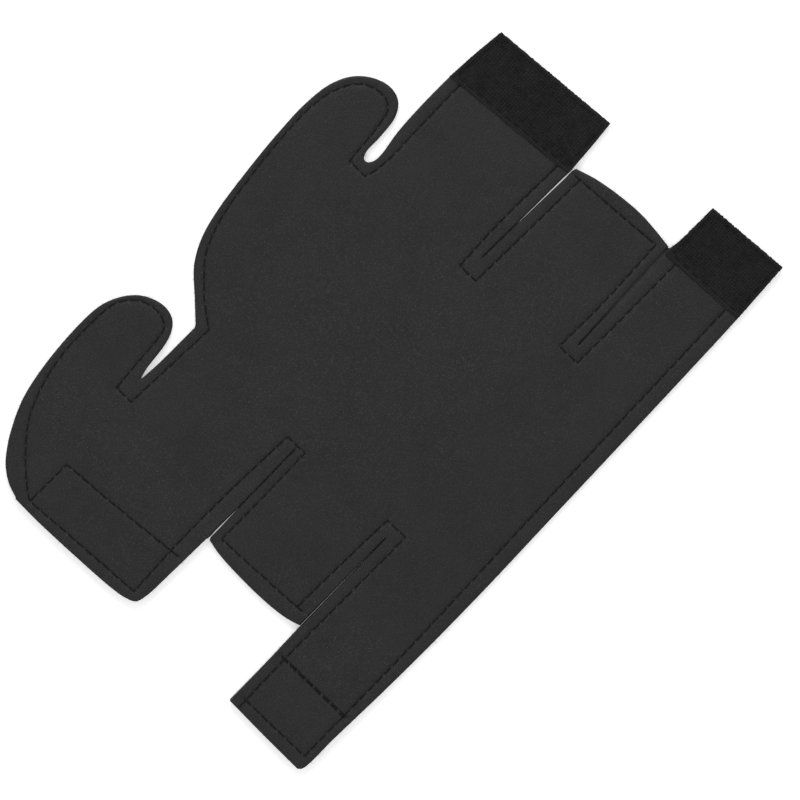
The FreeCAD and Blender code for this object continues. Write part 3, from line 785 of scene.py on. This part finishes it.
def pad_ground(name, corners, base, thickness, facing, seam_inset=1.4):
    """The woven ground of a pad as a closed solid, with ribbed selvedges and a sunk seam."""
    width = np.linalg.norm(np.subtract(corners[1], corners[0]))
    length = np.linalg.norm(np.subtract(corners[3], corners[0]))
    nu, nw = round(width / 0.3), round(length / 0.45)
    u, w = np.meshgrid(np.linspace(0, 1, nu + 1), np.linspace(0, 1, nw + 1), indexing="ij")
    points = quad_point(corners, u, w)
    from_side = np.minimum(u, 1 - u) * width
    from_end = np.minimum(w, 1 - w) * length
    rib = 0.05 * np.cos(from_side / 0.62 * 2 * math.pi) * (from_side < 2.2)
    rolled = -0.25 * np.clip(1 - from_side / 0.5, 0, 1) ** 2 - 0.15 * np.clip(1 - from_end / 0.4, 0, 1) ** 2
    near_seam = np.minimum(np.abs(from_side - seam_inset), np.abs(from_end - seam_inset))
    sunk = -0.14 * np.exp(-(near_seam / 0.5) ** 2)
    x, y = points[..., 0].ravel(), points[..., 1].ravel()
    lumps = 0.05 * noise2(x, y, 1.1, 31).reshape(u.shape)
    out = (thickness + rib + rolled + sunk + lumps).ravel()
    ragged = rng.normal(0, 0.07, out.shape)
    edge_mask = ((u == 0) | (u == 1) | (w == 0) | (w == 1)).ravel()
    level_z = base(x, y)
    x, y = x + ragged * edge_mask, y + np.roll(ragged, 7) * edge_mask
    outer = np.column_stack([x, y, level_z + facing * out])
    inner = np.column_stack([x, y, level_z])
    idx = np.arange(u.size).reshape(u.shape)
    q = np.stack([idx[:-1, :-1], idx[:-1, 1:], idx[1:, 1:], idx[1:, :-1]], axis=-1).reshape(-1, 4)
    n = u.size
    border = np.concatenate([idx[:, 0], idx[-1, 1:], idx[-2::-1, -1], idx[0, -2:0:-1]])
    nxt = np.roll(border, -1)
    wall = np.column_stack([border, nxt, nxt + n, border + n])
    faces = np.vstack([q, q[:, ::-1] + n, wall[:, ::-1]])
    if facing > 0:
        faces = faces[:, ::-1]
    obj = new_mesh(name, np.vstack([outer, inner]), faces.tolist(), None, tape_ground)
    bm = obj.data
    signed = sum(p.normal.z * p.area for p in list(bm.polygons)[:len(q)])
    if signed * facing < 0:
        bm.flip_normals()
    return obj, width, length


def pad_stitches(name, corners, base, thickness, facing, inset=1.4):
    width = np.linalg.norm(np.subtract(corners[1], corners[0]))
    length = np.linalg.norm(np.subtract(corners[3], corners[0]))
    a, b = inset / width, inset / length
    ring = [quad_point(corners, s, t) for s, t in ((a, b), (1 - a, b), (1 - a, 1 - b), (a, 1 - b))]
    tubes = Tubes()
    for start, end in zip(ring, ring[1:] + ring[:1]):
        run = np.linalg.norm(end - start)
        count = round(run / STITCH)
        for k in range(count):
            at = (k + np.linspace(0.14, 0.86, 9)) / count
            path = start + (end - start) * at[:, None] + rng.uniform(-0.05, 0.05, 2)
            z = base(path[:, 0], path[:, 1]) + facing * (thickness - 0.12)
            stitch(tubes, path, z, (-0.40, 0.02), THREAD_RADIUS, facing)
    return tubes.build(name, thread)


for key, corners in FRONT_PADS.items():
    body = f"{key}_end"
    base = lambda x, y: FACE_TOP + lift(x, y) - 0.05
    ground, width, length = pad_ground(f"{key}_loop_tape", corners, base, 0.62, 1)
    seam = pad_stitches(f"{key}_loop_tape_stitches", corners, base, 0.62, 1)
    loops = Tubes()
    nu, nw = round((width - 2.6) / 0.44), round((length - 1.0) / 0.44)
    for i in range(nu):
        for k in range(nw):
            u = (1.9 + (i + 0.5 + rng.uniform(-0.45, 0.45)) * 0.44) / width
            w = (0.5 + (k + 0.5 + rng.uniform(-0.45, 0.45)) * 0.44) / length
            if u > 1 - 0.5 / width or w > 1 - 0.4 / length:
                continue
            x, y = quad_point(corners, u, w)
            turn, span = rng.uniform(0, math.pi), rng.uniform(0.22, 0.5)
            tall = rng.uniform(0.25, 0.62) * (0.8 + 0.3 * noise2(np.array([x]), np.array([y]), 2.4, 41)[0])
            bend = np.linspace(0, math.pi, 6)
            lean = rng.uniform(-0.3, 0.3, 2)
            rise = np.sin(bend) * tall
            px = x + np.cos(bend) * span / 2 * math.cos(turn) + lean[0] * rise
            py = y + np.cos(bend) * span / 2 * math.sin(turn) + lean[1] * rise
            z = base(px, py) + 0.55 + rise
            loops.add(np.column_stack([px, py, z]), 0.05 + 0.02 * rng.random(), sides=3)
    curls = loops.build(f"{key}_loop_pile", pile)
    for obj, slot in ((ground, "loop_tape"), (seam, "thread"), (curls, "loop_tape")):
        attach(obj, body)
    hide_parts(f"{key}_loop_pad")
    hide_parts(f"{key}_loop_pad_seam")

for key, corners in REAR_PADS.items():
    body = f"{key}_end"
    base = lambda x, y: LINING_BOTTOM + lift(x, y) + 0.03
    ground, width, length = pad_ground(f"{key}_hook_tape", corners, base, 0.5, -1)
    seam = pad_stitches(f"{key}_hook_tape_stitches", corners, base, 0.5, -1)
    crooks = Tubes()
    nu, nw = round((width - 4.4) / 1.05), round((length - 1.6) / 1.05)
    for i in range(nu):
        for k in range(nw):
            u = (2.4 + (i + 0.5) * 1.05) / width
            w = (0.8 + (k + 0.5 + 0.25 * (i % 2)) * 1.05) / length
            if w > 1 - 0.7 / length:
                continue
            x, y = quad_point(corners, u, w)
            way = 1 if i % 2 else -1
            t = np.array([0, 0.25, 0.5, 0.7, 0.85, 1.0])
            reach = np.array([0, 0.0, 0.06, 0.24, 0.42, 0.46]) * way
            drop = np.array([0, 0.35, 0.58, 0.68, 0.60, 0.44])
            px = x + rng.uniform(-0.05, 0.05) + 0 * t
            z = base(px, y + reach) - 0.48 - drop
            crooks.add(np.column_stack([px, y + reach, np.maximum(z, 0.07)]), 0.085, sides=5)
    crook_obj = crooks.build(f"{key}_hooks", hooks)
    for obj, slot in ((ground, "hook_tape"), (seam, "thread"), (crook_obj, "hook_tape")):
        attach(obj, body)
    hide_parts(f"{key}_hook_pad")
    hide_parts(f"{key}_hook_pad_seam")

# ---------------------------------------------------------------- floor, light and camera
bpy.ops.mesh.primitive_grid_add(x_subdivisions=8, y_subdivisions=8, size=8, location=(0, 0, -0.0002))
floor = bpy.context.object
floor.name = "studio_floor"
floor_mat = bpy.data.materials.new("studio_floor")
floor_mat.use_nodes = True
nodes, links = floor_mat.node_tree.nodes, floor_mat.node_tree.links
shade = nodes["Principled BSDF"]
shade.inputs["Base Color"].default_value = (0.82, 0.82, 0.82, 1)
shade.inputs["Roughness"].default_value = 0.95
shade.inputs["Specular IOR Level"].default_value = 0.0
path = nodes.new("ShaderNodeLightPath")
seen = nodes.new("ShaderNodeMath")
seen.operation = "MAXIMUM"
links.new(path.outputs["Is Camera Ray"], seen.inputs[0])
links.new(path.outputs["Is Glossy Ray"], seen.inputs[1])
seen_too = nodes.new("ShaderNodeMath")
seen_too.operation = "MAXIMUM"
links.new(seen.outputs[0], seen_too.inputs[0])
links.new(path.outputs["Is Transmission Ray"], seen_too.inputs[1])
glow = nodes.new("ShaderNodeMath")
glow.operation = "MULTIPLY"
links.new(seen_too.outputs[0], glow.inputs[0])
glow.inputs[1].default_value = 0.45
shade.inputs["Emission Color"].default_value = (1, 1, 1, 1)
links.new(glow.outputs[0], shade.inputs["Emission Strength"])
floor.data.materials.append(floor_mat)

scene = bpy.context.scene
scene.view_settings.view_transform = "Standard"
world = bpy.data.worlds.new("studio")
scene.world = world
world.use_nodes = True
world.node_tree.nodes["Background"].inputs["Color"].default_value = (1, 1, 1, 1)
world.node_tree.nodes["Background"].inputs["Strength"].default_value = 0.6


def lamp(name, energy, size, place, aim=(0, 0, 0)):
    data = bpy.data.lights.new(name, "AREA")
    data.energy, data.size = energy, size
    obj = bpy.data.objects.new(name, data)
    scene.collection.objects.link(obj)
    obj.location = place
    obj.rotation_euler = (Vector(aim) - Vector(place)).to_track_quat("-Z", "Y").to_euler()


lamp("key", 9.0, 0.7, (0.75, 0.75, 1.0))
lamp("fill", 3.0, 0.9, (-0.9, -0.4, 1.1))

camera_data = bpy.data.cameras.new("camera")
camera_data.lens, camera_data.sensor_width = 200, 36
camera_data.clip_start, camera_data.clip_end = 0.05, 20
camera = bpy.data.objects.new("camera", camera_data)
scene.collection.objects.link(camera)
camera.location = (-0.00335, -0.01384, 1.3363)
camera.rotation_euler = (0, 0, math.radians(-46.4))
scene.camera = camera
